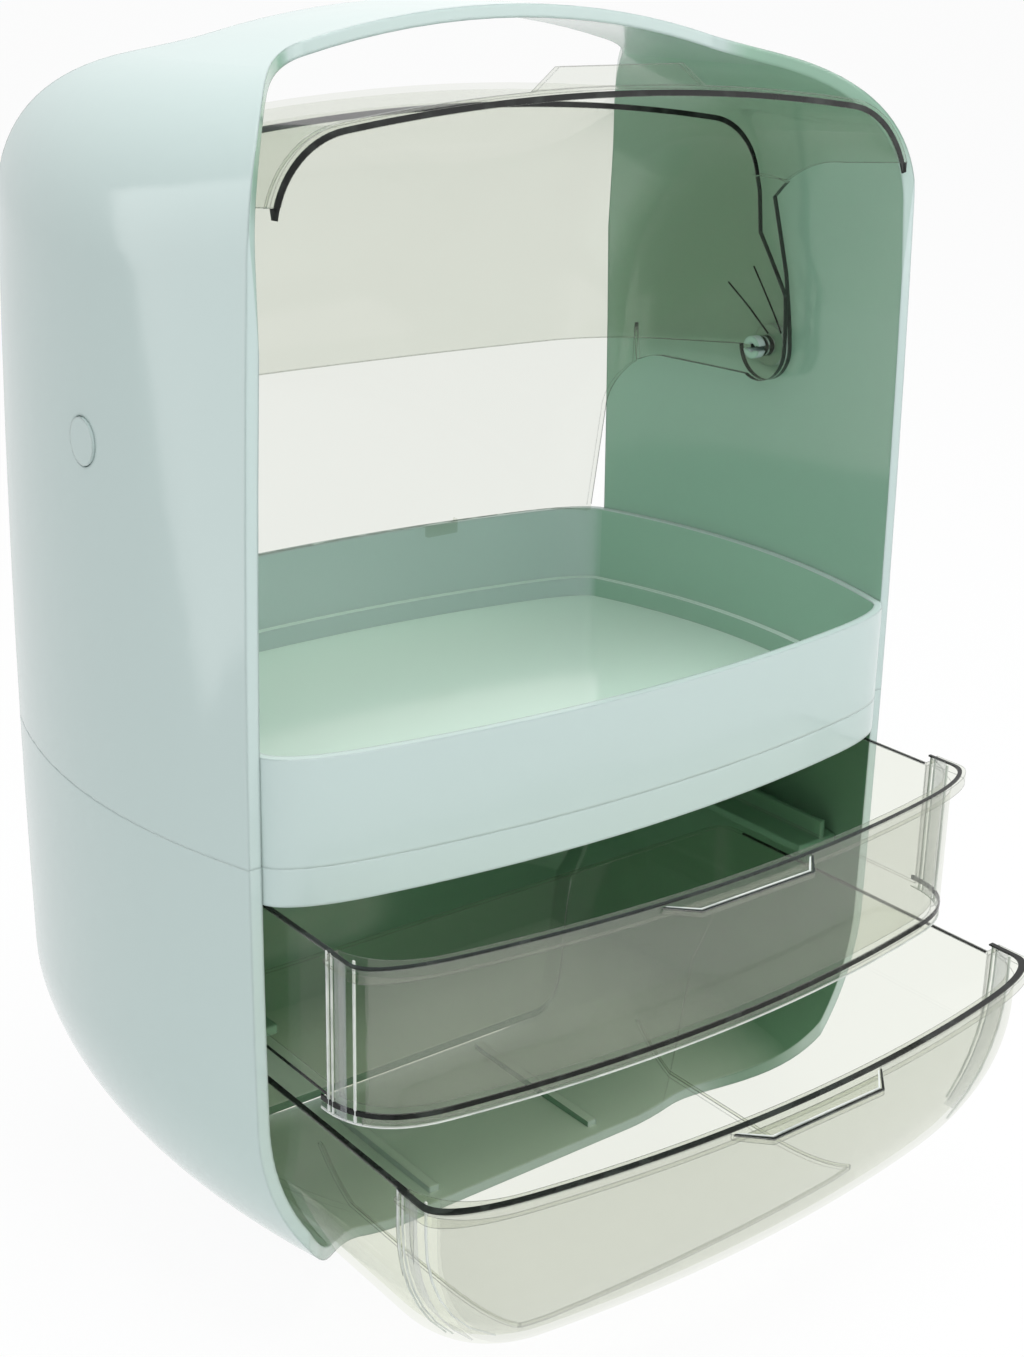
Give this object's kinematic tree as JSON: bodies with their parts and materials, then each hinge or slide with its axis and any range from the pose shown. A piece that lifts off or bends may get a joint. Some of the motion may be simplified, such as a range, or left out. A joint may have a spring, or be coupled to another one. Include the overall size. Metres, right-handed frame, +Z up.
{
  "type": "cosmetic display case",
  "caption": "Carrying case for cosmetics with an arched handle, a clear cover whose front half swings up and back, an open tray, and clear drawers that slide out below.",
  "frame": {"origin": "on the surface it stands on, under the middle of its overall size at rest", "axes": "+Z up, -Y towards the drawers and the visor, +X to the right seen from the front"},
  "size_m": [0.2848, 0.28, 0.4019],
  "materials": {
    "case": "satin",
    "clear": "clear",
    "steel": "satin",
    "pad": "matte"
  },
  "bodies": {
    "case": {"upper_shell": "case", "lower_shell": "case", "deck": "case", "tray": "case", "rear_cover": "clear", "pivot_pin_left": "case", "pivot_pin_right": "case", "runner_left": "case", "runner_right": "case", "deck_screws": "steel", "runner_screws": "steel", "foot_pad_front_left": "pad", "foot_pad_front_right": "pad", "foot_pad_rear_left": "pad", "foot_pad_rear_right": "pad"},
    "visor": {"front_visor": "clear"},
    "upper_drawer": {"upper_drawer": "clear"},
    "lower_drawer": {"lower_drawer": "clear"}
  },
  "joints": [
    {"name": "visor_swing", "type": "hinge", "parent": "case", "child": "visor", "pos_m": [0, 0.038, 0.2825], "axis": [1, 0, 0], "range_deg": [0, 95.4]},
    {"name": "upper_drawer_slide", "type": "slide", "parent": "case", "child": "upper_drawer", "axis": [0, 1, 0], "range_m": [-0.055, 0.043]},
    {"name": "lower_drawer_slide", "type": "slide", "parent": "case", "child": "lower_drawer", "axis": [0, 1, 0], "range_m": [-0.025, 0.0775]}
  ]
}
